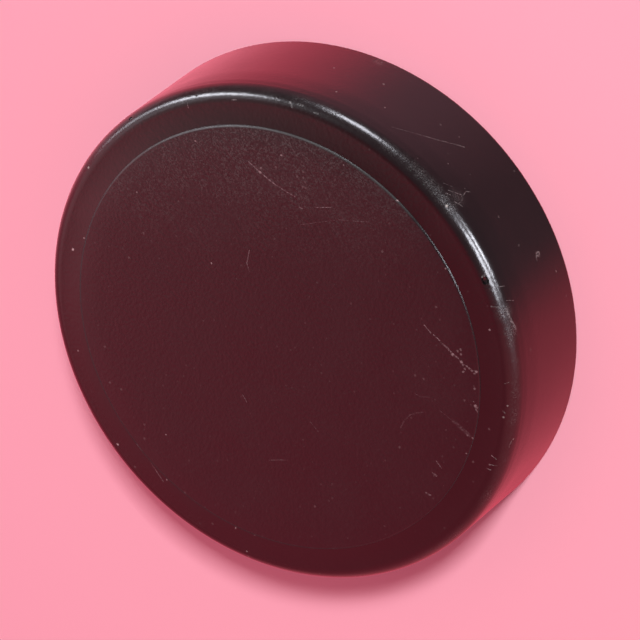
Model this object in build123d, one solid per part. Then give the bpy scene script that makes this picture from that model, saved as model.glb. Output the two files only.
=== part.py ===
from build123d import *
from math import radians, tan
import os

# Push-on cap for the front of a camera lens, moulded in one piece from black plastic.
# It stands on its mouth: axis on Z, mouth in the plane Z = 0, face up. Millimetres.
# A half section is a list of (radius, height) points, turned about Z.

# Driving dimensions
# Fit on the lens
BARREL_DIAMETER = 42.0  # outside of the lens barrel that the cap pushes onto
BARREL_GAP = 0.2  # from the barrel to the plain bore wall, bridged by the grip ribs
RIB_COUNT = 8
RIB_WIDTH = 0.9  # where a rib meets the bore wall
RIB_SETBACK = 1.6  # mouth to where a rib has its full section, past its round nose
LEAD_IN_WIDTH = 0.3  # bevel inside the mouth that guides the barrel in
LEAD_IN_HEIGHT = 0.6

# Shell
CAP_HEIGHT = 10.9  # mouth to the smooth border of the face
SKIRT_WALL = 1.15  # at the shoulder, where the skirt is thinnest
SKIRT_DRAFT = 2.25  # degrees that the outside of the skirt widens by towards the mouth
FACE_WALL = 1.5  # border of the face to the ceiling of the bore
SHOULDER_ROUND = 1.25
RIM_ROUND = 0.25  # outside edge of the mouth
CEILING_BEVEL = 0.8  # inside corner of the bore

# Raised round panel in the middle of the face
BORDER_WIDTH = 3.15  # outside of the skirt to the panel
PANEL_RISE = 0.2
PANEL_BEVEL = 0.12

# Witness that the moulding gate leaves in the middle of the ceiling
GATE_DIAMETER = 2.0
GATE_HEIGHT = 0.15

# Sizes that follow from them
barrel_radius = BARREL_DIAMETER / 2
bore_radius = barrel_radius + BARREL_GAP
shoulder_radius = bore_radius + SKIRT_WALL
mouth_radius = shoulder_radius + CAP_HEIGHT * tan(radians(SKIRT_DRAFT))
panel_radius = shoulder_radius - BORDER_WIDTH
panel_top = CAP_HEIGHT + PANEL_RISE
ceiling = CAP_HEIGHT - FACE_WALL
# A rib is an arc that bulges from the bore wall as far as the barrel.
rib_radius = ((RIB_WIDTH / 2) ** 2 + BARREL_GAP**2) / (2 * BARREL_GAP)


def turned(points, rounds=()):
    """Solid of revolution of a half section. Each (corner, radius) in rounds is made round."""
    section = make_face(Polyline(*points, close=True))
    for corner, radius in rounds:
        vertex = section.vertices().sort_by_distance(corner)[0]
        section = fillet(vertex, radius)
    return revolve(Plane.XZ * section, axis=Axis.Z)


def outside():
    """The cap as a solid block: drafted skirt, round shoulder, border and raised panel."""
    rim = (mouth_radius, 0)
    shoulder = (shoulder_radius, CAP_HEIGHT)
    panel = [
        (panel_radius, CAP_HEIGHT),
        (panel_radius, panel_top - PANEL_BEVEL),
        (panel_radius - PANEL_BEVEL, panel_top),
        (0, panel_top),
    ]
    return turned(
        [(0, 0), rim, shoulder, *panel],
        [(rim, RIM_ROUND), (shoulder, SHOULDER_ROUND)],
    )


def rib():
    """One grip rib on the Z axis, as the groove with a ball end that shapes it in the mould core."""
    straight = extrude(Circle(rib_radius), ceiling - RIB_SETBACK)
    return Pos(Z=RIB_SETBACK) * (straight + Sphere(rib_radius))


def core():
    """The space inside: lead-in, bore and bevelled ceiling, grooved for the ribs."""
    bore = turned([
        (0, 0),
        (bore_radius + LEAD_IN_WIDTH, 0),
        (bore_radius, LEAD_IN_HEIGHT),
        (bore_radius, ceiling - CEILING_BEVEL),
        (bore_radius - CEILING_BEVEL, ceiling),
        (0, ceiling),
    ])
    return bore - PolarLocations(barrel_radius + rib_radius, RIB_COUNT) * rib()


def gate_witness():
    """The low round pip under the ceiling, rooted in the middle of the face's wall."""
    root = ceiling + FACE_WALL / 2
    return Pos(Z=root) * extrude(Circle(GATE_DIAMETER / 2), -FACE_WALL / 2 - GATE_HEIGHT)


lens_cap = outside() - core() + gate_witness()
lens_cap.label = "lens_cap"

os.makedirs("parts", exist_ok=True)
export_step(lens_cap, "parts/lens_cap.step")
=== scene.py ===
"""Looks of the lens cap: one black moulding, its grained panel, worn shoulder, scratches and dust."""

from math import atan2, pi, radians, tan

import bmesh
import bpy
from mathutils import Euler, Matrix, Vector


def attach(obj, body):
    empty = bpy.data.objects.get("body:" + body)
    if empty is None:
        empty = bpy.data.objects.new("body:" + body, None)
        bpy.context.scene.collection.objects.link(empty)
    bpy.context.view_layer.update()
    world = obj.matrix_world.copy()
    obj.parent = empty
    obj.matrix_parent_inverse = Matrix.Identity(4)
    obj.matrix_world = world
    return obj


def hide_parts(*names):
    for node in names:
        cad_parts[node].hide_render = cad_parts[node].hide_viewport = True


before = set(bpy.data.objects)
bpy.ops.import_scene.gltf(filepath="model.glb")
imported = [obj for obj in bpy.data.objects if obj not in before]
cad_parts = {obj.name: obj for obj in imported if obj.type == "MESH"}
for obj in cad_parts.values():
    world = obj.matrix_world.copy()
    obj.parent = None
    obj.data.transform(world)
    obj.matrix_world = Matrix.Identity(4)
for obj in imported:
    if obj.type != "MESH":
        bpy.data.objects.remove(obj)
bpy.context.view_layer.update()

MM = 0.001

# Form of the cap, in millimetres, as the CAD solid has it
CAP_HEIGHT = 10.9  # mouth to the smooth border of the face
BORE_RADIUS = 21.2
SKIRT_WALL = 1.15
SKIRT_DRAFT = 2.25  # degrees
FACE_WALL = 1.5
SHOULDER_ROUND = 1.25
RIM_ROUND = 0.25
LEAD_IN_WIDTH = 0.3
LEAD_IN_HEIGHT = 0.6
CEILING_BEVEL = 0.8
BORDER_WIDTH = 3.15
PANEL_RISE = 0.2
GATE_RADIUS = 1.0
GATE_HEIGHT = 0.15
RIB_COUNT = 8
RIB_WIDTH = 0.9
RIB_RISE = 0.2
RIB_SETBACK = 1.6

# Finer form that only the looks need, in millimetres
PANEL_CHAMFER_WIDTH = 0.13
PANEL_CHAMFER_DROP = 0.048
PANEL_EDGE_ROUND = 0.014
PANEL_EDGE_SLOPE = 0.03  # how much wider the panel's foot is than its edge
PANEL_FOOT_ROUND = 0.01
PANEL_FALL = 0.055  # how far the panel falls away towards its edge
PANEL_FALL_WIDTH = 3.0
PANEL_FALL_ROUND = 0.9
PANEL_LIP = 0.04  # the last, steeper part of the fall
PANEL_LIP_WIDTH = 1.0
PANEL_LIP_ROUND = 0.85
CHIP_SINK = 0.15  # how deep the lump that breaks out a chip is set, as a share of the chip's half width

# Fineness of the mesh
TURNED_STEPS = 960  # segments round the cap
SMOOTH_ANGLE = 32  # degrees between two faces that still shade as one
SAME_PLACE = 1e-4  # millimetres
MERGE_DISTANCE = 1e-7  # metres

shoulder_radius = BORE_RADIUS + SKIRT_WALL
mouth_radius = shoulder_radius + CAP_HEIGHT * tan(radians(SKIRT_DRAFT))
panel_radius = shoulder_radius - BORDER_WIDTH
panel_top = CAP_HEIGHT + PANEL_RISE
ceiling = CAP_HEIGHT - FACE_WALL
rib_radius = ((RIB_WIDTH / 2) ** 2 + RIB_RISE**2) / (2 * RIB_RISE)

# Camera, fitted to the outline of the cap in the photograph
PHOTO_SIZE = 640  # pixels each way
FOCAL_LENGTH = 3150  # pixels
SENSOR_WIDTH = 36  # millimetres
CAMERA_AIM = (-0.96, -5.26, CAP_HEIGHT)
CAMERA_DISTANCE = 259.6
CAMERA_ELEVATION = 51.86  # degrees above the floor
CAMERA_ROLL = -128.5  # degrees

# Wear, where the photograph shows it. Places are pixels of the photograph, sizes are millimetres.
# A scratch is (width, strength, the places that it passes).
SCRATCHES = {
    "long scratch": (0.15, 0.65, [
        (249, 161.8), (258.6, 171), (268, 179), (276, 185), (285, 191), (295, 196.6),
    ]),
    "long scratch, end": (0.14, 0.6, [(299.4, 207.2), (302.4, 208.5)]),
    "hairline beside the long scratch": (0.09, 0.75, [(315.3, 207.4), (331.6, 207.4)]),
    "hairline below the long scratch": (0.06, 0.3, [(300, 224.6), (338, 219.8), (369, 222)]),
    "right scratch, first dash": (0.15, 0.67, [(424.2, 325.2), (431, 332.8)]),
    "right scratch, second dash": (0.15, 0.75, [(433.6, 334.8), (439.6, 340.6)]),
    "right scratch, third dash": (0.2, 0.85, [(442.2, 343.8), (447, 347.6), (452.4, 353.6), (458, 358.4)]),
    "right scratch, end": (0.13, 0.2, [(458, 358.4), (461.4, 362.4), (469.5, 368.3), (476.8, 372.2)]),
    "twin scratch, upper": (0.11, 0.16, [(439.5, 410.5), (452, 420.2), (472.6, 438)]),
    "twin scratch, lower": (0.45, 0.17, [(452.5, 420), (469.5, 435.4)]),
    "panel edge chip": (0.16, 0.55, [(475, 405.5), (475.6, 409), (477.4, 411.7)]),
    "bow": (0.16, 0.15, [(400.7, 427.7), (404.1, 420.8), (409.8, 415.1), (416.7, 412.8), (423.6, 412.2)]),
    "hook": (0.06, 0.3, [(414.4, 393.3), (420.2, 396.7), (429.4, 397.3)]),
    "tick a": (0.11, 0.65, [(436.3, 461), (441.4, 467.9)]),
    "tick b": (0.24, 0.65, [(432.8, 473.1), (436.3, 475.9)]),
    "tick c": (0.2, 0.5, [(425.9, 492.6), (430.5, 495.5)]),
    "low dash": (0.09, 0.35, [(269.2, 460), (287.3, 460)]),
    "low slant": (0.1, 0.7, [(136.6, 443.7), (151.3, 463.5), (163.3, 481.5)]),
    "middle tick": (0.09, 0.4, [(242.5, 394.6), (246.8, 402.3)]),
    "faint slant": (0.06, 0.3, [(309.7, 421.3), (318.3, 431.6)]),
    "faint curl": (0.09, 0.6, [(249.4, 250.3), (246.8, 263.2), (249.4, 271.8)]),
    "border tick a": (0.1, 0.95, [(491.4, 455.3), (496.5, 459.3)]),
    "border tick b": (0.15, 0.95, [(489.1, 464.5), (496.5, 465.6)]),
    "border tick c": (0.14, 0.9, [(486.8, 468.5), (491.4, 470.2)]),
    "border bit a": (0.12, 0.35, [(504, 384), (508.6, 382.4)]),
    "border bit b": (0.2, 0.45, [(503, 411), (505, 413.5)]),
    "border bit c": (0.14, 0.55, [(509, 447), (511.5, 441)]),
    "skirt scratch": (0.1, 0.95, [(426.3, 136.6), (440, 140.5), (455, 144.3), (464.5, 147.1)]),
    "skirt scratch, faint": (0.08, 0.5, [(391.8, 127), (408, 131.5), (426.3, 136.6)]),
    "skirt curl": (0.25, 1.0, [
        (536.6, 256), (536.3, 252.6), (539.2, 252.3), (539.4, 255.8), (536.6, 256), (536.8, 259.5),
    ]),
    "skirt stroke a": (0.07, 0.45, [(443.3, 183), (452.3, 186.6)]),
    "skirt stroke b": (0.11, 0.9, [(448.5, 190.2), (463.2, 195.4)]),
    "skirt stroke c": (0.13, 0.85, [(446.2, 193.1), (450.4, 195)]),
    "skirt stroke d": (0.11, 0.75, [(463.2, 195.4), (466, 191.2), (470.3, 192.1)]),
    "skirt stroke e": (0.12, 0.45, [(461.3, 195.9), (463.2, 199.2), (459, 203.5)]),
    "skirt stroke f": (0.14, 0.85, [(454.2, 201.6), (462.7, 206.3)]),
    "pale face of the shoulder chip": (0.28, 0.8, [(482.6, 277.2), (486, 273.6)]),
    "tick outside the streak": (0.12, 0.9, [(499.9, 286.6), (504.5, 285.9)]),
    "second tick outside the streak": (0.09, 0.7, [(505.9, 300.5), (513.8, 300.5)]),
    "scuff outside the streak": (0.34, 1.0, [
        (506.5, 307.8), (508.5, 315.1), (512.5, 323.1), (515.8, 328.4),
    ]),
    "tick inside the streak": (0.18, 0.85, [(491.2, 306.5), (498.6, 307.2)]),
    "second tick inside the streak": (0.1, 0.35, [(488.6, 288.6), (491.9, 290.6)]),
    "loop at the end of the streak": (0.1, 0.5, [(508, 338), (511.5, 340), (509.5, 344), (512, 346)]),
    "far tick a": (0.09, 0.5, [(181.5, 103.5), (186, 101.5)]),
    "far tick b": (0.12, 0.85, [(187.5, 103), (188.3, 108)]),
    "far tick c": (0.16, 0.8, [(232, 100), (236, 99.5)]),
    "far tick d": (0.1, 0.5, [(276, 97), (279, 101)]),
    "far tick e": (0.26, 1.0, [(290, 102), (292, 107)]),
    "far tick f": (0.25, 1.0, [(298.5, 104.4), (303, 105.5)]),
    "far tick g": (0.16, 0.85, [(314, 112.5), (318, 114)]),
}
# A speck is (radius, strength, places).
SPECKS = {
    "bright": (0.15, 0.9, [
        (88.4, 167.6), (72.9, 249.4), (397.6, 200.3), (117.7, 444.5), (446.6, 205.8),
    ]),
    "middling": (0.12, 0.4, [
        (281.3, 155.2), (489.4, 330), (503.4, 417.4),
    ]),
    "large crumb": (0.18, 0.36, [
        (452.4, 354.6), (461.2, 362), (476.3, 371.9), (475.4, 405.8), (260, 172),
    ]),
    "crumb": (0.14, 0.22, [
        (460.6, 349.6), (457.6, 351.2), (461, 354.4), (463, 365), (466.8, 366.2), (464.8, 369),
        (463.2, 371.8), (469.4, 368.4), (471.8, 370.8), (474.6, 373.6), (477, 407.8), (474.6, 388.8),
        (467.3, 435.3), (472.8, 438), (260.8, 168),
    ]),
    "small": (0.11, 0.45, [
        (385.1, 107.5), (336.3, 91.7), (166.8, 479.8), (235.7, 528), (254.6, 534.9), (246.9, 551.3),
        (507.4, 405.9), (78, 350.7), (84.1, 238.2), (137, 192.2), (165.9, 434.7), (513.2, 439.2),
        (556.2, 271.3), (211.5, 263.2), (195.2, 140.9),
    ]),
    "faint": (0.15, 0.11, [
        (303.4, 172), (303.2, 177.8), (305, 182), (302.6, 187), (305.4, 187.9), (297.2, 176.6), (276, 167),
        (104.8, 346.7), (109.9, 382.5), (121.1, 389.4), (144.4, 438.5), (144.4, 424.7), (134.9, 466.9),
        (184.8, 492.7), (212.4, 523.7), (314.9, 506.5), (399.5, 447.2), (415, 375.5), (423.6, 378.9),
        (464.4, 400.4), (382.3, 251.4), (436, 307), (143.5, 233.1), (128.9, 257.7), (473, 461.8),
        (440.6, 124.7), (514.3, 171.1), (498.6, 216.8), (518.9, 245.3), (530.8, 349.8), (489.1, 429.2),
    ]),
}
# A scuff is (place, reach, strength). All of them lie on the shoulder or the skirt.
SCUFFS = {
    "ridge before the gap": ((404, 158), 0.8, 0.3),
    "ridge in the gap, first": ((413, 165.5), 0.8, 0.4),
    "ridge in the gap, second": ((421, 173), 0.9, 0.45),
    "ridge in the gap, third": ((429, 181.5), 0.9, 0.45),
    "ridge after the gap": ((437, 190), 0.9, 0.5),
    "ridge before the streak": ((444, 198.5), 0.9, 0.5),
    "ridge at the streak": ((451, 208), 0.9, 0.5),
    "strokes under the ridge": ((457, 197), 1.2, 0.35),
    "ridge beside the chip": ((505, 312), 1.1, 0.6),
    "ridge below the chip": ((512, 331), 1.0, 0.6),
    "far rim": ((379, 62), 0.8, 0.5),
}
# A chip is (place, half its length along the shoulder, half its width).
CHIPS = {
    "shoulder chip": ((485.4, 280.6), 0.42, 0.32),
    "shoulder nick": ((197, 95.8), 0.2, 0.13),
    "outline nick": ((130.4, 118.4), 0.22, 0.16),
}

# Colours of the plastic, of the wear on it, and of the painted sheen on the panel's grains and edge
BLACK = (0.0022, 0.0020, 0.0021, 1)
GRAINED_BLACK = (0.0029, 0.0026, 0.0031, 1)
# Grey of real wear, also used as painted sheen on the panel's grains and on its edge line
WEAR_AND_SHEEN = (0.16, 0.145, 0.145, 1)
DUST = (0.36, 0.30, 0.29, 1)
# Marks on the flat of the face are pinker than those on the skirt
FACE_WORN = (0.27, 0.155, 0.172, 1)
FACE_DUST = (0.45, 0.272, 0.288, 1)

# Finishes. Sizes and depths are millimetres.
PANEL_SLOT = 1  # places in the cap's list of materials, where the shell is first
BORE_SLOT = 2
CEILING_MARGIN = 0.01  # so that the flat of the ceiling counts as inside
PLASTIC_IOR = 1.6
PANEL_GRAIN = 0.29
PANEL_GRAIN_DEPTH = 0.013
BORE_GRAIN = 0.5
BORE_GRAIN_DEPTH = 0.03
SHELL_MOTTLE = 0.3
SHELL_MOTTLE_DEPTH = 0.015
PANEL_EDGE_LINE_DEPTH = 0.1  # how far below the top of the panel its pale edge line, rubbed wear and painted highlight, is strongest
RIDGE_INSET = 0.24  # the ridge of the shoulder, in from the skirt
RIDGE_DROP = 0.48  # and down from the border
BORDER_FADE = 0.4  # width over which marks turn from those of the face to those of the skirt
SHEEN_SIDE = (0.78, -0.62, 0.0)  # the way in which the painted sheen on the panel's grains and edge grows
# Strengths of the painted sheen on the grains, and of the pale edge line of rubbed wear and painted
# highlight
GRAIN_SHEEN_STRENGTH = 0.37
EDGE_RUB_AND_SHEEN_STRENGTH = 0.28
PANEL_HAIR_STRENGTH = 0.16
SHELL_HAIR_STRENGTH = 0.14
WORN_PANEL_ROUGHNESS = 0.6
WORN_SHELL_ROUGHNESS = 0.5
DUSTY_ROUGHNESS = 0.75
# The skirt starts to turn inward a little below the shoulder's round, in two steps that overlap.
# A step is (top, bottom, fall). Top and bottom are measured down from the end of the round.
SKIRT_TURNS = (
    (-0.4, 0.9, 0.078),
    (-0.2, 2.9, 0.085),
)

# Stage. Sizes are metres.
FLOOR_PINK = (0.98, 0.34, 0.44, 1)
FLOOR_SIZE = 3
FLOOR_DROP = 0.00002
BACKDROP_PINK = (1.0, 0.35, 0.45, 1)
EVEN_LIGHT = (0.52, 0.29, 0.34, 1)
# Colours that gloss mirrors. Left is towards -X, and behind is towards +Y.
FRONT = (0.28, 0.14, 0.17, 1)
FRONT_LOW_RIGHT = (0.64, 0.27, 0.34, 1)
PAPER_BEHIND = (1, 0.105, 0.18, 1)
PAPER_BEHIND_RIGHT = (0.85, 0.12, 0.19, 1)
PAPER_LEFT = (1.28, 0.18, 0.26, 1)
PAPER_FAR_RIGHT = (1.2, 0.5, 0.62, 1)
PAPER_RIGHT = (1.85, 0.25, 0.38, 1)
PAPER_RIGHT_BACK = (1.7, 0.36, 0.5, 1)
PAPER_UNDER = (1.7, 0.16, 0.26, 1)
KEY_TINT = (0.7, 1.0, 0.94)
LAMP_TINT = (0.96, 0.97, 1.07)
LAMP_DISTANCE = 0.6
# A lamp that only gloss mirrors is (azimuth, elevation, roll, width, height, power).
# These are degrees, metres and watts. Lamps are named after the sides of the picture.
MIRRORED_LAMPS = {
    "left_panel": (10, 35, -36, 0.27, 0.085, 1.7),
    "left_tail": (32, 21, -36, 0.20, 0.09, 0.3),
    "left_glow": (31, 46, -36, 0.36, 0.16, 0.13),
    "upper_panel": (-49, 14.5, 0, 0.16, 0.17, 1.7),
    "right_panel_high": (-113, 31, 0, 0.20, 0.16, 2.2),
    "right_panel_low": (-110, 5, 0, 0.18, 0.10, 1.8),
    "right_glow": (-136, 14, 0, 0.30, 0.36, 0.14),
}


# Camera
def place_camera():
    """The camera of the photograph, which looks down on the cap."""
    data = bpy.data.cameras.new("photo_camera")
    data.sensor_width = SENSOR_WIDTH
    data.lens = FOCAL_LENGTH / PHOTO_SIZE * SENSOR_WIDTH
    data.clip_start = 0.01
    camera = bpy.data.objects.new("photo_camera", data)
    bpy.context.scene.collection.objects.link(camera)
    tilt = Matrix.Rotation(radians(90 - CAMERA_ELEVATION), 4, "X")
    roll = Matrix.Rotation(radians(CAMERA_ROLL), 4, "Z")
    turn = tilt @ roll
    back = turn.to_3x3() @ Vector((0, 0, CAMERA_DISTANCE))
    camera.matrix_world = Matrix.Translation((Vector(CAMERA_AIM) + back) * MM) @ turn
    bpy.context.scene.camera = camera
    return camera


def seen_at(camera, cap, pixel):
    """The point of the cap that the camera sees at a pixel of the photograph, in metres, and its normal."""
    across = (pixel[0] - PHOTO_SIZE / 2) / FOCAL_LENGTH
    up = (PHOTO_SIZE / 2 - pixel[1]) / FOCAL_LENGTH
    ray = camera.matrix_world.to_3x3() @ Vector((across, up, -1))
    hit, place, normal, _ = cap.ray_cast(camera.matrix_world.translation, ray)
    if not hit:
        raise ValueError(f"the camera sees no cap at pixel {pixel}")
    return place, normal


# Modelling tools
def deselect_all():
    if bpy.context.object and bpy.context.object.mode == "EDIT":
        bpy.ops.object.mode_set(mode="OBJECT")
    bpy.ops.object.select_all(action="DESELECT")


def select_vertices(piece, test):
    """Selects, in edit mode, the vertices whose place in millimetres passes the test."""
    bpy.ops.mesh.select_mode(type="VERT")
    bpy.ops.mesh.select_all(action="DESELECT")
    mesh = bmesh.from_edit_mesh(piece.data)
    for vertex in mesh.verts:
        if test(vertex.co / MM):
            vertex.select_set(True)
    mesh.select_flush(True)
    bmesh.update_edit_mesh(piece.data)


def select_corner(piece, radius, height):
    """Selects the vertex of the half section at this radius and height."""
    place = Vector((radius, 0, height))
    select_vertices(piece, lambda at: (at - place).length < SAME_PLACE)


def apply_modifier(piece, modifier):
    bpy.context.view_layer.objects.active = piece
    bpy.ops.object.modifier_apply(modifier=modifier.name)


def combine(piece, other, operation):
    """Joins another object to the piece, or cuts it out of it, and removes that object."""
    boolean = piece.modifiers.new("combine", "BOOLEAN")
    boolean.operation = operation
    boolean.solver = "EXACT"
    boolean.object = other
    deselect_all()
    apply_modifier(piece, boolean)
    bpy.data.objects.remove(other)


# The moulding
def half_section():
    """The cap's half section as a wire in the XZ plane, from the face's centre round to the ceiling's."""
    panel_fall = (panel_radius - PANEL_FALL_WIDTH, panel_top)
    panel_lip = (panel_radius - PANEL_LIP_WIDTH, panel_top - PANEL_FALL + PANEL_LIP)
    panel_edge = (panel_radius - PANEL_EDGE_SLOPE, panel_top - PANEL_FALL - PANEL_CHAMFER_DROP)
    panel_break = (panel_edge[0] - PANEL_CHAMFER_WIDTH, panel_top - PANEL_FALL)
    panel_foot = (panel_radius, CAP_HEIGHT)
    shoulder = (shoulder_radius, CAP_HEIGHT)
    rim = (mouth_radius, 0)
    corners = [
        (0, panel_top),
        panel_fall,
        panel_lip,
        panel_break,
        panel_edge,
        panel_foot,
        shoulder,
        rim,
        (BORE_RADIUS + LEAD_IN_WIDTH, 0),
        (BORE_RADIUS, LEAD_IN_HEIGHT),
        (BORE_RADIUS, ceiling - CEILING_BEVEL),
        (BORE_RADIUS - CEILING_BEVEL, ceiling),
        (GATE_RADIUS, ceiling),
        (GATE_RADIUS, ceiling - GATE_HEIGHT),
        (0, ceiling - GATE_HEIGHT),
    ]
    deselect_all()
    bpy.ops.mesh.primitive_plane_add(size=MM)
    cap = bpy.context.object
    cap.name = "cap_moulding"
    bpy.ops.object.mode_set(mode="EDIT")
    bpy.ops.mesh.merge(type="CENTER")
    bpy.ops.transform.translate(value=(corners[0][0] * MM, 0, corners[0][1] * MM))
    for (radius, height), (next_radius, next_height) in zip(corners, corners[1:]):
        step = ((next_radius - radius) * MM, 0, (next_height - height) * MM)
        bpy.ops.mesh.extrude_vertices_move(TRANSFORM_OT_translate={"value": step})
    for corner, offset, segments in (
        (panel_fall, PANEL_FALL_ROUND, 6),
        (panel_lip, PANEL_LIP_ROUND, 8),
        (panel_break, PANEL_EDGE_ROUND, 4),
        (panel_edge, PANEL_EDGE_ROUND, 4),
        (panel_foot, PANEL_FOOT_ROUND, 3),
        (shoulder, SHOULDER_ROUND, 18),
        (rim, RIM_ROUND, 5),
    ):
        select_corner(cap, *corner)
        bpy.ops.mesh.bevel(
            offset=offset * MM,
            segments=segments,
            affect="VERTICES",
            clamp_overlap=False,
        )
    return cap


def turn_section(cap):
    """Turns the half section into the closed shell of the cap."""
    bpy.ops.object.mode_set(mode="OBJECT")
    lathe = cap.modifiers.new("lathe", "SCREW")
    lathe.angle = 2 * pi
    lathe.steps = TURNED_STEPS
    lathe.render_steps = TURNED_STEPS
    lathe.use_merge_vertices = True
    lathe.merge_threshold = MERGE_DISTANCE
    apply_modifier(cap, lathe)
    bpy.ops.object.mode_set(mode="EDIT")
    bpy.ops.mesh.select_all(action="SELECT")
    bpy.ops.mesh.remove_doubles(threshold=MERGE_DISTANCE)
    bpy.ops.mesh.normals_make_consistent(inside=False)
    bpy.ops.object.mode_set(mode="OBJECT")


def add_ribs(cap):
    """Fuses the grip ribs with the wall of the bore. Each is a ball drawn out up to the ceiling."""
    middle = BORE_RADIUS - RIB_RISE + rib_radius
    deselect_all()
    bpy.ops.mesh.primitive_uv_sphere_add(
        segments=48,
        ring_count=24,
        radius=rib_radius * MM,
        location=(middle * MM, 0, RIB_SETBACK * MM),
    )
    ribs = bpy.context.object
    bpy.ops.object.transform_apply(location=True)
    bpy.ops.object.mode_set(mode="EDIT")
    select_vertices(ribs, lambda at: at.z > RIB_SETBACK + SAME_PLACE)
    bpy.ops.transform.translate(value=(0, 0, (ceiling - RIB_SETBACK) * MM))
    bpy.ops.mesh.select_all(action="SELECT")
    for _ in range(RIB_COUNT - 1):
        bpy.ops.mesh.duplicate()
        bpy.ops.transform.rotate(
            value=2 * pi / RIB_COUNT,
            orient_axis="Z",
            center_override=(0, 0, 0),
        )
    bpy.ops.object.mode_set(mode="OBJECT")
    combine(cap, ribs, "UNION")


def cut_chips(cap, camera):
    """Breaks small chips out of the shoulder with rough lumps."""
    lumps = []
    for pixel, length, width in CHIPS.values():
        place, normal = seen_at(camera, cap, pixel)
        deselect_all()
        bpy.ops.mesh.primitive_ico_sphere_add(
            subdivisions=1,
            radius=MM,
            location=place - normal * CHIP_SINK * width * MM,
            rotation=(0, 0, atan2(place.y, place.x)),
            scale=(width, length, width),
        )
        lumps.append(bpy.context.object)
        bpy.ops.object.transform_apply(location=True, rotation=True, scale=True)
    for lump in lumps:
        lump.select_set(True)
    bpy.ops.object.join()
    combine(cap, bpy.context.object, "DIFFERENCE")


def model_cap(camera):
    cap = half_section()
    turn_section(cap)
    add_ribs(cap)
    cut_chips(cap, camera)
    deselect_all()
    cap.select_set(True)
    bpy.context.view_layer.objects.active = cap
    bpy.ops.object.shade_smooth_by_angle(angle=radians(SMOOTH_ANGLE))
    # The flats and the skirt keep their own normals up to the small rounds beside them
    steady = cap.modifiers.new("steady normals", "WEIGHTED_NORMAL")
    steady.mode = "FACE_AREA"
    steady.keep_sharp = True
    apply_modifier(cap, steady)
    return cap


# Node tools
def add_node(tree, kind, **settings):
    node = tree.nodes.new("ShaderNode" + kind)
    for name, value in settings.items():
        setattr(node, name, value)
    return node


def feed(tree, socket, value):
    """Links a socket to another, or gives it a plain value."""
    if isinstance(value, bpy.types.Node):
        value = value.outputs[0]
    if isinstance(value, bpy.types.NodeSocket):
        tree.links.new(value, socket)
    else:
        socket.default_value = value


def math(tree, operation, *values, clamp=False):
    node = add_node(tree, "Math", operation=operation, use_clamp=clamp)
    for socket, value in zip(node.inputs, values):
        feed(tree, socket, value)
    return node.outputs[0]


def times(tree, first, second):
    return math(tree, "MULTIPLY", first, second)


def larger(tree, first, second):
    return math(tree, "MAXIMUM", first, second)


def vector_math(tree, operation, *values):
    node = add_node(tree, "VectorMath", operation=operation)
    for socket, value in zip(node.inputs, values):
        feed(tree, socket, value)
    single = operation in ("DOT_PRODUCT", "LENGTH", "DISTANCE")
    return node.outputs["Value" if single else "Vector"]


def scaled(tree, vector, amount):
    node = add_node(tree, "VectorMath", operation="SCALE")
    feed(tree, node.inputs[0], vector)
    feed(tree, node.inputs["Scale"], amount)
    return node.outputs["Vector"]


def split_xyz(tree, vector):
    node = add_node(tree, "SeparateXYZ")
    tree.links.new(vector, node.inputs[0])
    return node.outputs


def join_xy(tree, x, y):
    node = add_node(tree, "CombineXYZ")
    tree.links.new(x, node.inputs["X"])
    tree.links.new(y, node.inputs["Y"])
    return node.outputs[0]


def levelled(tree, vector):
    """The vector without its height."""
    return vector_math(tree, "MULTIPLY", vector, (1, 1, 0))


def remap(tree, value, low, high, start=0.0, end=1.0):
    """value from low to high as start to end, with a soft turn at each."""
    node = add_node(tree, "MapRange", interpolation_type="SMOOTHSTEP")
    for name, given in (
        ("Value", value),
        ("From Min", low),
        ("From Max", high),
        ("To Min", start),
        ("To Max", end),
    ):
        feed(tree, node.inputs[name], given)
    return node.outputs["Result"]


def blend(tree, amount, first, second):
    """first where amount is 0, second where it is 1: both numbers or both colours."""
    node = add_node(tree, "Mix")
    plain = isinstance(first, (int, float)) or getattr(first, "type", "") == "VALUE"
    node.data_type = "FLOAT" if plain else "RGBA"
    sockets = [socket for socket in node.inputs if socket.enabled]
    for socket, value in zip(sockets, (amount, first, second)):
        feed(tree, socket, value)
    return next(socket for socket in node.outputs if socket.enabled)


def noise(tree, vector, size, detail=2.0, roughness=0.5):
    """Noise with features of about this size in metres."""
    node = add_node(tree, "TexNoise")
    feed(tree, node.inputs["Vector"], vector)
    feed(tree, node.inputs["Scale"], math(tree, "DIVIDE", 1.0, size))
    node.inputs["Detail"].default_value = detail
    node.inputs["Roughness"].default_value = roughness
    return node.outputs[0]


def new_group(name, inputs, outputs):
    """An empty node group: its tree, its inputs by name, and the sockets of its output node."""
    tree = bpy.data.node_groups.new(name, "ShaderNodeTree")
    for socket, kind in inputs.items():
        tree.interface.new_socket(socket, in_out="INPUT", socket_type="NodeSocket" + kind)
    for socket in outputs:
        tree.interface.new_socket(socket, in_out="OUTPUT", socket_type="NodeSocketFloat")
    source = tree.nodes.new("NodeGroupInput")
    result = tree.nodes.new("NodeGroupOutput")
    return tree, source.outputs, result.inputs


def use_group(tree, group, **values):
    """Places a group and gives its inputs their values."""
    node = tree.nodes.new("ShaderNodeGroup")
    node.node_tree = group
    for name, value in values.items():
        feed(tree, node.inputs[name], value)
    return node


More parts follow.
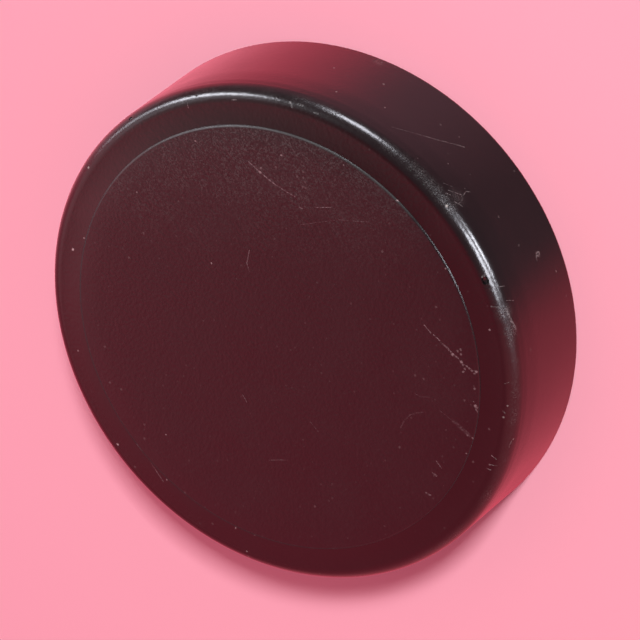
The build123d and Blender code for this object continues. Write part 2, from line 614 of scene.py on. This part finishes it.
# Effects
def scratch_group():
    """Mask of one straight scratch between two points, broken along its length."""
    tree, given, result = new_group(
        "scratch",
        {"Vector": "Vector", "Start": "Vector", "End": "Vector", "Width": "Float"},
        ["Mask"],
    )
    along = vector_math(tree, "SUBTRACT", given["End"], given["Start"])
    apart = vector_math(tree, "SUBTRACT", given["Vector"], given["Start"])
    share = math(
        tree,
        "DIVIDE",
        vector_math(tree, "DOT_PRODUCT", apart, along),
        vector_math(tree, "DOT_PRODUCT", along, along),
        clamp=True,
    )
    distance = vector_math(tree, "DISTANCE", apart, scaled(tree, along, share))
    half = times(tree, given["Width"], 0.5)
    line = remap(tree, distance, half, times(tree, half, 0.3))
    breaks = noise(tree, given["Vector"], 0.16 * MM, detail=3.0, roughness=0.75)
    breaks = remap(tree, breaks, 0.4, 0.64, start=0.08)
    tree.links.new(times(tree, line, breaks), result["Mask"])
    return tree


def scattered_cells(tree, vector, spacing):
    """The way to each place from a random point near it, and three random numbers of that point."""
    cells = add_node(tree, "TexVoronoi")
    tree.links.new(vector, cells.inputs["Vector"])
    feed(tree, cells.inputs["Scale"], math(tree, "DIVIDE", 1.0, spacing))
    offset = vector_math(tree, "SUBTRACT", vector, cells.outputs["Position"])
    chance = add_node(tree, "SeparateColor")
    tree.links.new(cells.outputs["Color"], chance.inputs["Color"])
    return offset, chance.outputs


def speck_group():
    """Mask of small specks strewn at random, a few stronger and most faint."""
    tree, given, result = new_group(
        "specks",
        {"Vector": "Vector", "Spacing": "Float", "Radius": "Float", "Share": "Float"},
        ["Mask"],
    )
    offset, chance = scattered_cells(tree, given["Vector"], given["Spacing"])
    radius = times(tree, given["Radius"], math(tree, "ADD", chance["Green"], 0.4))
    dot = remap(tree, vector_math(tree, "LENGTH", offset), radius, times(tree, radius, 0.5))
    chosen = math(tree, "LESS_THAN", chance["Red"], given["Share"])
    strength = remap(tree, math(tree, "POWER", chance["Blue"], 3.0), 0.0, 1.0, start=0.05, end=0.35)
    tree.links.new(times(tree, times(tree, dot, chosen), strength), result["Mask"])
    return tree


def hairline_group():
    """Mask of short straight hairlines that lie every way in the plane of X and Y of the vector."""
    tree, given, result = new_group(
        "hairlines",
        {"Vector": "Vector", "Spacing": "Float", "Length": "Float", "Width": "Float", "Share": "Float"},
        ["Mask"],
    )
    offset, chance = scattered_cells(tree, given["Vector"], given["Spacing"])
    angle = times(tree, chance["Green"], pi)
    heading = join_xy(tree, math(tree, "COSINE", angle), math(tree, "SINE", angle))
    along = math(tree, "ABSOLUTE", vector_math(tree, "DOT_PRODUCT", offset, heading))
    across = vector_math(tree, "LENGTH", vector_math(tree, "CROSS_PRODUCT", offset, heading))
    half = times(tree, given["Length"], math(tree, "ADD", chance["Blue"], 0.2))
    ends = remap(tree, along, half, times(tree, half, 0.4))
    line = remap(tree, across, times(tree, given["Width"], 0.5), 0.0)
    chosen = math(tree, "LESS_THAN", chance["Red"], given["Share"])
    tree.links.new(times(tree, times(tree, line, ends), chosen), result["Mask"])
    return tree


def grain_group():
    """Height of a fine leathery grain, and a mask of the small grains that stand out of it."""
    tree, given, result = new_group("grain", {"Vector": "Vector", "Size": "Float"}, ["Height", "Grains"])
    swell = noise(tree, given["Vector"], given["Size"])
    grains = noise(tree, given["Vector"], times(tree, given["Size"], 0.55), detail=3.0, roughness=0.75)
    grains = remap(tree, grains, 0.42, 0.75)
    clusters = noise(tree, given["Vector"], times(tree, given["Size"], 2.5))
    grains = times(tree, grains, remap(tree, clusters, 0.3, 0.7, start=0.6))
    height = math(tree, "ADD", swell, times(tree, grains, 0.12))
    tree.links.new(height, result["Height"])
    tree.links.new(grains, result["Grains"])
    return tree


def ring_group():
    """Mask of a ring round the axis: 1 at this radius and height, 0 at the reach."""
    tree, given, result = new_group(
        "ring",
        {"Vector": "Vector", "Radius": "Float", "Height": "Float", "Reach": "Float"},
        ["Mask"],
    )
    radius = vector_math(tree, "LENGTH", levelled(tree, given["Vector"]))
    outward = math(tree, "SUBTRACT", radius, given["Radius"])
    upward = math(tree, "SUBTRACT", split_xyz(tree, given["Vector"])["Z"], given["Height"])
    squares = math(tree, "ADD", times(tree, outward, outward), times(tree, upward, upward))
    tree.links.new(remap(tree, math(tree, "SQRT", squares), given["Reach"], 0.0), result["Mask"])
    return tree


# Finishes
def new_finish(name):
    """A material, its node tree, its shader and its object coordinates."""
    material = bpy.data.materials.new(name)
    material.use_nodes = True
    tree = material.node_tree
    shader = tree.nodes["Principled BSDF"]
    shader.inputs["IOR"].default_value = PLASTIC_IOR
    place = add_node(tree, "TexCoord").outputs["Object"]
    return material, tree, shader, place


def shaken_by(tree, place, size, reach):
    """place moved about at random by up to half the reach, in waves of this size. Millimetres."""
    wobble = add_node(tree, "TexNoise")
    tree.links.new(place, wobble.inputs["Vector"])
    wobble.inputs["Scale"].default_value = 1 / (size * MM)
    centred = vector_math(tree, "SUBTRACT", wobble.outputs["Color"], (0.5, 0.5, 0.5))
    shift = vector_math(tree, "MULTIPLY", centred, (reach * MM, reach * MM, reach * MM))
    return vector_math(tree, "ADD", place, shift)


def unrolled(tree, place):
    """The outside of the cap laid flat: a vector of the way round and the way down, and the way down."""
    split = split_xyz(tree, place)
    turn = math(tree, "ARCTAN2", split["Y"], split["X"])
    out = vector_math(tree, "LENGTH", levelled(tree, place))
    round_it = times(tree, turn, shoulder_radius * MM)
    down = math(tree, "SUBTRACT", out, split["Z"])
    return join_xy(tree, round_it, down), down


def wear_marks(tree, place, effects, marks):
    """Masks of the scratches and of the specks read off the photograph."""
    shaken = shaken_by(tree, place, size=0.8, reach=0.06)
    scratched = 0.0
    for start, end, width, strength in marks["scratches"]:
        mask = use_group(tree, effects["scratch"], Vector=shaken, Start=start, End=end, Width=width * MM)
        scratched = larger(tree, scratched, times(tree, mask, strength))
    ragged = shaken_by(tree, place, size=0.15, reach=0.16)
    specks = 0.0
    for middle, radius, strength in marks["specks"]:
        distance = vector_math(tree, "DISTANCE", ragged, middle)
        speck = remap(tree, distance, radius * MM, radius * MM * 0.3, end=strength)
        specks = larger(tree, specks, speck)
    return scratched, specks


def dulled(tree, gloss):
    """Roughness of a flat that is glossy from above, and dull with fine dust seen at a low angle."""
    low_angle = add_node(tree, "LayerWeight").outputs["Facing"]
    return blend(tree, remap(tree, low_angle, 0.25, 0.5), gloss, DUSTY_ROUGHNESS)


def finish_with(tree, shader, colour, roughness, height, depth):
    feed(tree, shader.inputs["Base Color"], colour)
    feed(tree, shader.inputs["Roughness"], roughness)
    bump = add_node(tree, "Bump")
    bump.inputs["Distance"].default_value = depth * MM
    feed(tree, bump.inputs["Height"], height)
    tree.links.new(bump.outputs["Normal"], shader.inputs["Normal"])


def grained_panel(effects, marks):
    """The raised panel: fine leathery grain with dust in it, a painted sheen on its grains towards one
    side, and a pale edge line of rubbed wear and painted highlight.
    """
    material, tree, shader, place = new_finish("grained_panel")
    grain = use_group(tree, effects["grain"], Vector=place, Size=PANEL_GRAIN * MM)
    scratched, specks = wear_marks(tree, place, effects, marks)
    hairs = use_group(
        tree,
        effects["hairline"],
        Vector=levelled(tree, place),
        Spacing=2.6 * MM,
        Length=1.1 * MM,
        Width=0.07 * MM,
        Share=0.5,
    )
    dust = use_group(tree, effects["speck"], Vector=place, Spacing=0.5 * MM, Radius=0.09 * MM, Share=0.3)
    edge = use_group(
        tree,
        effects["ring"],
        Vector=place,
        Radius=panel_radius * MM,
        Height=(panel_top - PANEL_EDGE_LINE_DEPTH) * MM,
        Reach=0.25 * MM,
    )
    # Pale colour on the grains, thickest towards one side: a painted sheen of glinting grains, drawn like
    # fine dust
    side = vector_math(tree, "DOT_PRODUCT", place, SHEEN_SIDE)
    cloud = times(tree, noise(tree, place, 4 * MM, detail=4.0, roughness=0.6), 10 * MM)
    sheen_drift = remap(tree, math(tree, "ADD", side, cloud), 11 * MM, 25 * MM, start=0.08)
    painted_grain_sheen = times(tree, times(tree, grain.outputs["Grains"], sheen_drift), GRAIN_SHEEN_STRENGTH)
    # The edge is pale on that side, painted highlight together with rubbed wear, and has only traces of
    # wear elsewhere
    sheen_side_mask = remap(tree, sheen_drift, 0.12, 1.0)
    traces = remap(tree, noise(tree, place, 1.6 * MM, detail=4.0, roughness=0.7), 0.5, 0.72)
    traces = times(tree, times(tree, edge, traces), remap(tree, sheen_side_mask, 0.0, 0.3, start=0.05))
    rub_and_sheen = times(tree, larger(tree, traces, times(tree, edge, sheen_side_mask)), EDGE_RUB_AND_SHEEN_STRENGTH)
    marked = larger(tree, scratched, times(tree, hairs, PANEL_HAIR_STRENGTH))
    colour = blend(tree, larger(tree, rub_and_sheen, painted_grain_sheen), GRAINED_BLACK, WEAR_AND_SHEEN)
    colour = blend(tree, marked, colour, FACE_WORN)
    colour = blend(tree, larger(tree, specks, dust), colour, FACE_DUST)
    smudge = remap(tree, noise(tree, place, 6 * MM, detail=3.0), 0.3, 0.7, start=0.22, end=0.28)
    worn = larger(tree, marked, rub_and_sheen)
    roughness = blend(tree, worn, dulled(tree, smudge), WORN_PANEL_ROUGHNESS)
    finish_with(tree, shader, colour, roughness, grain.outputs["Height"], PANEL_GRAIN_DEPTH)
    return material


def chafed_ridge(tree, place, effects, strokes, scuffs):
    """Mask of the chafed ridge of the shoulder: a little all round, and more where it was scuffed."""
    ridge = use_group(
        tree,
        effects["ring"],
        Vector=place,
        Radius=(shoulder_radius - RIDGE_INSET) * MM,
        Height=(CAP_HEIGHT - RIDGE_DROP) * MM,
        Reach=0.8 * MM,
    )
    patches = noise(tree, place, 4 * MM, detail=3.0, roughness=0.6)
    scuffed = times(tree, ridge, remap(tree, patches, 0.42, 0.62, start=0.1, end=0.3))
    for centre, reach, strength in scuffs:
        distance = vector_math(tree, "DISTANCE", place, centre)
        scuffed = larger(tree, scuffed, remap(tree, distance, reach * MM, 0.0, end=strength))
    chafe = remap(tree, noise(tree, place, 0.1 * MM, roughness=0.6), 0.38, 0.78)
    return times(tree, scuffed, larger(tree, chafe, times(tree, strokes, 0.5)))


def satin_shell(effects, marks):
    """The border, shoulder, skirt and rim: smooth and satin, chafed along the shoulder."""
    material, tree, shader, place = new_finish("satin_shell")
    flat, down = unrolled(tree, place)
    scratched, specks = wear_marks(tree, place, effects, marks)
    hairs = use_group(
        tree,
        effects["hairline"],
        Vector=flat,
        Spacing=2.4 * MM,
        Length=1.2 * MM,
        Width=0.07 * MM,
        Share=0.5,
    )
    strokes = use_group(
        tree,
        effects["hairline"],
        Vector=flat,
        Spacing=0.5 * MM,
        Length=0.5 * MM,
        Width=0.06 * MM,
        Share=0.8,
    )
    dust = use_group(tree, effects["speck"], Vector=place, Spacing=0.6 * MM, Radius=0.09 * MM, Share=0.16)
    flecks = use_group(tree, effects["speck"], Vector=place, Spacing=0.7 * MM, Radius=0.07 * MM, Share=0.3)
    chafed = chafed_ridge(tree, place, effects, strokes, marks["scuffs"])
    faint = times(tree, larger(tree, hairs, flecks), SHELL_HAIR_STRENGTH)
    worn = larger(tree, larger(tree, scratched, chafed), faint)
    border_end = shoulder_radius - SHOULDER_ROUND - CAP_HEIGHT
    border = remap(tree, down, (border_end + BORDER_FADE) * MM, border_end * MM)
    colour = blend(tree, worn, BLACK, blend(tree, border, WEAR_AND_SHEEN, FACE_WORN))
    colour = blend(tree, larger(tree, specks, dust), colour, blend(tree, border, DUST, FACE_DUST))
    satin = remap(tree, noise(tree, place, 5 * MM, detail=3.0), 0.3, 0.7, start=0.19, end=0.24)
    satin = blend(tree, border, satin, dulled(tree, satin))
    roughness = blend(tree, worn, satin, WORN_SHELL_ROUGHNESS)
    mottle = noise(tree, place, SHELL_MOTTLE * MM, detail=3.0, roughness=0.6)
    height = math(tree, "SUBTRACT", mottle, times(tree, chafed, 0.5))
    round_end = shoulder_radius - CAP_HEIGHT + SHOULDER_ROUND
    for top, bottom, fall in SKIRT_TURNS:
        start = (round_end + top) * MM
        stop = (round_end + bottom) * MM
        turn = remap(tree, down, start, stop, end=fall / SHELL_MOTTLE_DEPTH)
        height = math(tree, "ADD", height, turn)
    finish_with(tree, shader, colour, roughness, height, SHELL_MOTTLE_DEPTH)
    return material


def bore_wall(effects):
    """The inside: a coarser grain, with a little dust."""
    material, tree, shader, place = new_finish("bore_wall")
    grain = use_group(tree, effects["grain"], Vector=place, Size=BORE_GRAIN * MM)
    dust = use_group(tree, effects["speck"], Vector=place, Spacing=1.5 * MM, Radius=0.1 * MM, Share=0.4)
    colour = blend(tree, dust, BLACK, DUST)
    roughness = remap(tree, noise(tree, place, 5 * MM, detail=3.0), 0.3, 0.7, start=0.38, end=0.5)
    finish_with(tree, shader, colour, roughness, grain.outputs["Height"], BORE_GRAIN_DEPTH)
    return material


def placed_marks(cap, camera):
    """The wear of the photograph at its places on the cap, on the panel and on the shell round it."""
    panel = {"scratches": [], "specks": []}
    shell = {"scratches": [], "specks": [], "scuffs": []}

    def zone(place):
        return panel if place.xy.length < panel_radius * MM else shell

    for width, strength, pixels in SCRATCHES.values():
        places = [seen_at(camera, cap, pixel)[0] for pixel in pixels]
        for start, end in zip(places, places[1:]):
            zone(start)["scratches"].append((start, end, width, strength))
    for radius, strength, pixels in SPECKS.values():
        for pixel in pixels:
            place = seen_at(camera, cap, pixel)[0]
            zone(place)["specks"].append((place, radius, strength))
    for pixel, reach, strength in SCUFFS.values():
        shell["scuffs"].append((seen_at(camera, cap, pixel)[0], reach, strength))
    return panel, shell


def paint_cap(cap, camera):
    """Gives the outside, the panel and the inside their finishes."""
    effects = {
        "scratch": scratch_group(),
        "speck": speck_group(),
        "hairline": hairline_group(),
        "grain": grain_group(),
        "ring": ring_group(),
    }
    panel_marks, shell_marks = placed_marks(cap, camera)
    finishes = [
        satin_shell(effects, shell_marks),
        grained_panel(effects, panel_marks),
        bore_wall(effects),
    ]
    for finish in finishes:
        cap.data.materials.append(finish)
    for face in cap.data.polygons:
        radius = face.center.xy.length / MM
        height = face.center.z / MM
        if height > CAP_HEIGHT + PANEL_FOOT_ROUND and radius < panel_radius:
            face.material_index = PANEL_SLOT
        elif radius < BORE_RADIUS + LEAD_IN_WIDTH and height < ceiling + CEILING_MARGIN:
            face.material_index = BORE_SLOT


# Stage
def make_floor():
    """A plain floor of pale pink paper. The gloss of the cap mirrors the world instead."""
    deselect_all()
    bpy.ops.mesh.primitive_plane_add(size=FLOOR_SIZE, location=(0, 0, -FLOOR_DROP))
    floor = bpy.context.object
    floor.name = "floor"
    floor.visible_glossy = False
    material = bpy.data.materials.new("pink_paper")
    material.use_nodes = True
    shader = material.node_tree.nodes["Principled BSDF"]
    shader.inputs["Base Color"].default_value = FLOOR_PINK
    shader.inputs["Roughness"].default_value = 1
    shader.inputs["Specular IOR Level"].default_value = 0
    floor.data.materials.append(material)


def mirrored_studio(tree):
    """What gloss mirrors: pink paper behind the cap, beside it and under it, with the front left dim."""
    direction = add_node(tree, "TexCoord").outputs["Generated"]

    def towards(*axis):
        return vector_math(tree, "DOT_PRODUCT", direction, axis)

    x = towards(1, 0, 0)
    y = towards(0, 1, 0)
    height = towards(0, 0, 1)
    # The front is a little less dim low down on the right
    low_right = remap(tree, towards(0.7, 0, -0.7), 0.45, 0.85)
    front = blend(tree, low_right, FRONT, FRONT_LOW_RIGHT)
    # Paper stands behind the cap
    left_level = remap(tree, y, 0.53, 0.73, start=0.93, end=1.16)
    right_level = remap(tree, y, 0.575, 0.66, start=0.38, end=1.56)
    level = blend(tree, remap(tree, x, -0.08, 0.08), left_level, right_level)
    level = times(tree, level, remap(tree, y, 0.78, 0.95, start=1.0, end=0.6))
    behind = blend(tree, remap(tree, x, 0.1, 0.4), PAPER_BEHIND, PAPER_BEHIND_RIGHT)
    behind = scaled(tree, behind, level)
    colour = blend(tree, remap(tree, y, -0.1, 0.35), front, behind)
    # Paper lies on the left, except high up at the back
    left = remap(tree, towards(-0.766, 0.643, 0), -0.05, 0.35)
    left = times(tree, left, remap(tree, x, -0.1, -0.45))
    upper = times(tree, remap(tree, height, -0.15, 0.6), remap(tree, y, 0.12, 0.4))
    left = times(tree, left, math(tree, "SUBTRACT", 1.0, upper))
    colour = blend(tree, left, colour, PAPER_LEFT)
    # Paper lies on the right, paler towards the back
    far = remap(tree, towards(0.84, 0.5, -0.2), 0.92, 0.99)
    colour = blend(tree, far, colour, PAPER_FAR_RIGHT)
    right = remap(tree, towards(0.55, 0.38, -0.745), 0.69, 0.97)
    right_paper = blend(tree, remap(tree, y, 0.1, 0.6), PAPER_RIGHT, PAPER_RIGHT_BACK)
    colour = blend(tree, right, colour, right_paper)
    # The rim of the mouth mirrors the floor close under it
    under = remap(tree, height, -0.87, -0.96)
    colour = blend(tree, under, colour, PAPER_UNDER)
    # A dim pale glow lies above the lamp left_panel, and spreads to the back of it
    above = remap(tree, towards(0.6, 0.2, 0.775), 0.85, 0.945)
    beside = remap(tree, towards(0.78, 0.195, 0.595), 0.59, 0.68)
    beside = times(tree, beside, remap(tree, y, 0.25, 0.5))
    glow = times(tree, larger(tree, above, beside), remap(tree, height, 0.97, 0.82, end=0.34))
    glow = times(tree, glow, remap(tree, height, 0.2, 0.5))
    return vector_math(tree, "ADD", colour, glow)


def light_world():
    """Even light for the diffuse colour of things, a studio for gloss, and a plain pink backdrop."""
    world = bpy.data.worlds.new("studio")
    bpy.context.scene.world = world
    world.use_nodes = True
    tree = world.node_tree
    path = add_node(tree, "LightPath").outputs
    mirrored = larger(tree, path["Is Glossy Ray"], path["Is Transmission Ray"])
    colour = blend(tree, mirrored, EVEN_LIGHT, mirrored_studio(tree))
    colour = blend(tree, path["Is Camera Ray"], colour, BACKDROP_PINK)
    feed(tree, tree.nodes["Background"].inputs["Color"], colour)


def add_softbox(name, azimuth, elevation, roll, distance, width, height, power):
    """A lamp that faces the cap. Angles are degrees, and azimuth is from +X."""
    data = bpy.data.lights.new(name, "AREA")
    data.shape = "RECTANGLE"
    data.size = width
    data.size_y = height
    data.energy = power
    lamp = bpy.data.objects.new(name, data)
    bpy.context.scene.collection.objects.link(lamp)
    turn = Euler((radians(90 - elevation), 0, radians(90 + azimuth))).to_matrix()
    turn = turn @ Matrix.Rotation(radians(roll), 3, "Z")
    lamp.matrix_world = Matrix.Translation(turn @ Vector((0, 0, distance))) @ turn.to_4x4()
    return lamp


def add_lamps():
    """One small key that lights diffuse colour and shadow, and the lamps that gloss mirrors."""
    key = add_softbox(
        "key",
        azimuth=-78,
        elevation=45,
        roll=0,
        distance=0.7,
        width=0.09,
        height=0.09,
        power=5.7,
    )
    key.data.color = KEY_TINT
    key.visible_glossy = False
    for name, (azimuth, elevation, roll, width, height, power) in MIRRORED_LAMPS.items():
        lamp = add_softbox(name, azimuth, elevation, roll, LAMP_DISTANCE, width, height, power)
        lamp.data.color = LAMP_TINT
        lamp.visible_diffuse = False


camera = place_camera()
bpy.context.view_layer.update()
cap = model_cap(camera)
paint_cap(cap, camera)
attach(cap, "root")
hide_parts("lens_cap")
make_floor()
light_world()
add_lamps()
bpy.context.scene.view_settings.view_transform = "Standard"

bpy.context.view_layer.update()
